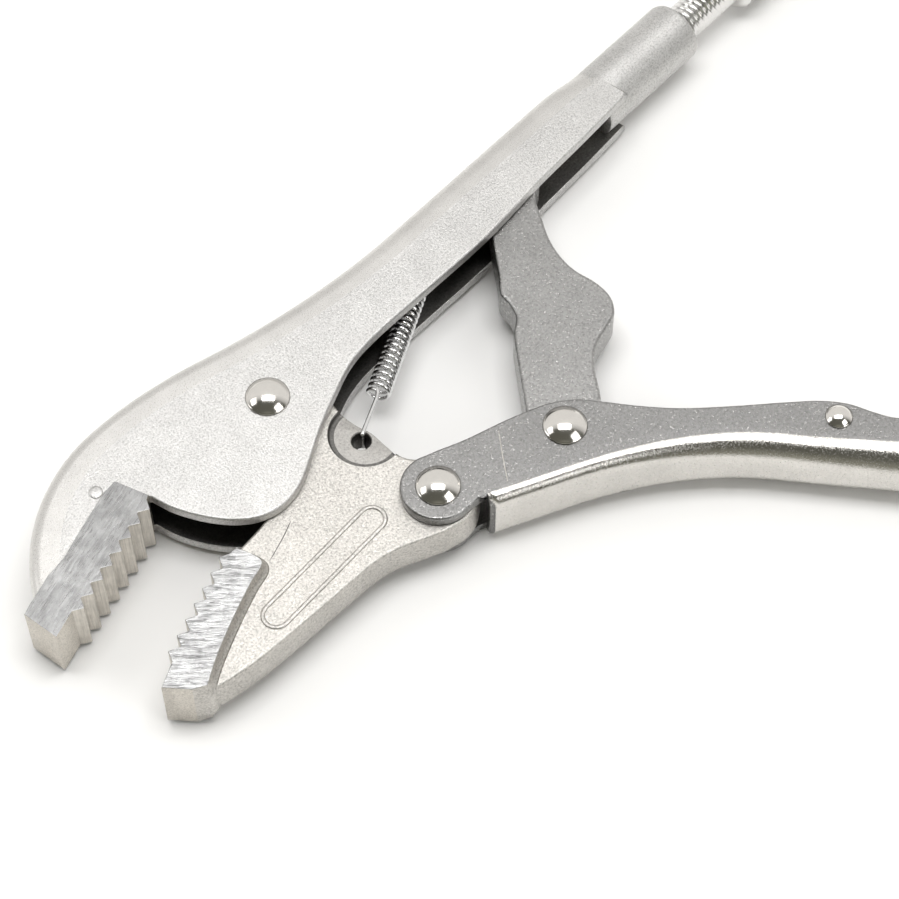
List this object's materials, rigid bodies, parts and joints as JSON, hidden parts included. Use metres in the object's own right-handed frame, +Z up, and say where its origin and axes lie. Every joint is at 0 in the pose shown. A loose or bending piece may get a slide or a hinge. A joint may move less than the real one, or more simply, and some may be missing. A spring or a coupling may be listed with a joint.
{
  "type": "locking pliers",
  "caption": "Toggle-locking hand pliers with serrated straight jaws, pressed channel handles, release lever, tension spring and knurled adjusting screw, lying open.",
  "frame": {"origin": "main rivet's axis, on the plane the tool lies on, which the flat underside of the main rivet touches", "axes": "+X along the upper handle towards the adjusting screw, +Z up out of the side that shows, +Y from the lower handle towards the upper one"},
  "size_m": [0.2472, 0.1723, 0.0179],
  "materials": {
    "nickel_blasted": "sand-blasted sheet with pale nickel plating, fine sparkle",
    "nickel_forged": "forged and plated, pale, slightly warm, fine grain",
    "nickel_plate": "satin nickel plating over pressed sheet, a little darker",
    "ground_steel": "ground faces with scratches, milled teeth",
    "bright_steel": "bright plated, knurled knob and rolled thread",
    "spring_wire": "bright drawn wire",
    "polished_rivet": "polished rivet heads"
  },
  "bodies": {
    "upper_half": {"upper_handle": "nickel_blasted", "upper_jaw": "ground_steel", "jaw_welds": "nickel_blasted", "main_rivet": "polished_rivet", "opening_spring": "spring_wire"},
    "moving_jaw": {"lower_jaw": "nickel_forged"},
    "lower_half": {"lower_handle": "nickel_plate", "jaw_rivet": "polished_rivet", "link_rivet": "polished_rivet", "lever_rivet": "polished_rivet"},
    "link": {"toggle_link": "nickel_plate"},
    "release": {"release_lever": "nickel_plate"},
    "screw": {"adjusting_screw": "bright_steel"},
    "knob": {"screw_knob": "bright_steel"}
  },
  "joints": [
    {"name": "jaw_pivot", "type": "hinge", "parent": "upper_half", "child": "moving_jaw", "pos_m": [0, 0, 0.0084], "axis": [0, 0, 1], "range_deg": [-19, 0], "stiffness_Nm_per_rad": 0.4, "springref_deg": 45.84, "deforming": ["opening_spring"]},
    {"name": "handle_pivot", "type": "hinge", "parent": "moving_jaw", "child": "lower_half", "pos_m": [0.0081, -0.0408, 0.0084], "axis": [0, 0, 1], "range_deg": [0, 57]},
    {"name": "link_pivot", "type": "hinge", "parent": "lower_half", "child": "link", "pos_m": [0.0365, -0.0505, 0.0084], "axis": [0, 0, 1], "range_deg": [-57, 0]},
    {"name": "release_pivot", "type": "hinge", "parent": "lower_half", "child": "release", "pos_m": [0.0764, -0.0912, 0.0084], "axis": [0, 0, 1], "range_deg": [-6, 8]},
    {"name": "screw_travel", "type": "slide", "parent": "upper_half", "child": "screw", "axis": [1, 0, 0], "range_m": [0, 0.018]},
    {"name": "knob_turn", "type": "hinge", "parent": "screw", "child": "knob", "pos_m": [0.167, 0.00376, 0.0084], "axis": [1, 0, 0], "range_deg": [0, 4320]}
  ],
  "couplings": [
    {"joint": "handle_pivot", "follows": "jaw_pivot", "ratio": -3},
    {"joint": "link_pivot", "follows": "jaw_pivot", "ratio": 3},
    {"joint": "knob_turn", "follows": "screw_travel", "rad_per_m": 4188.8}
  ]
}
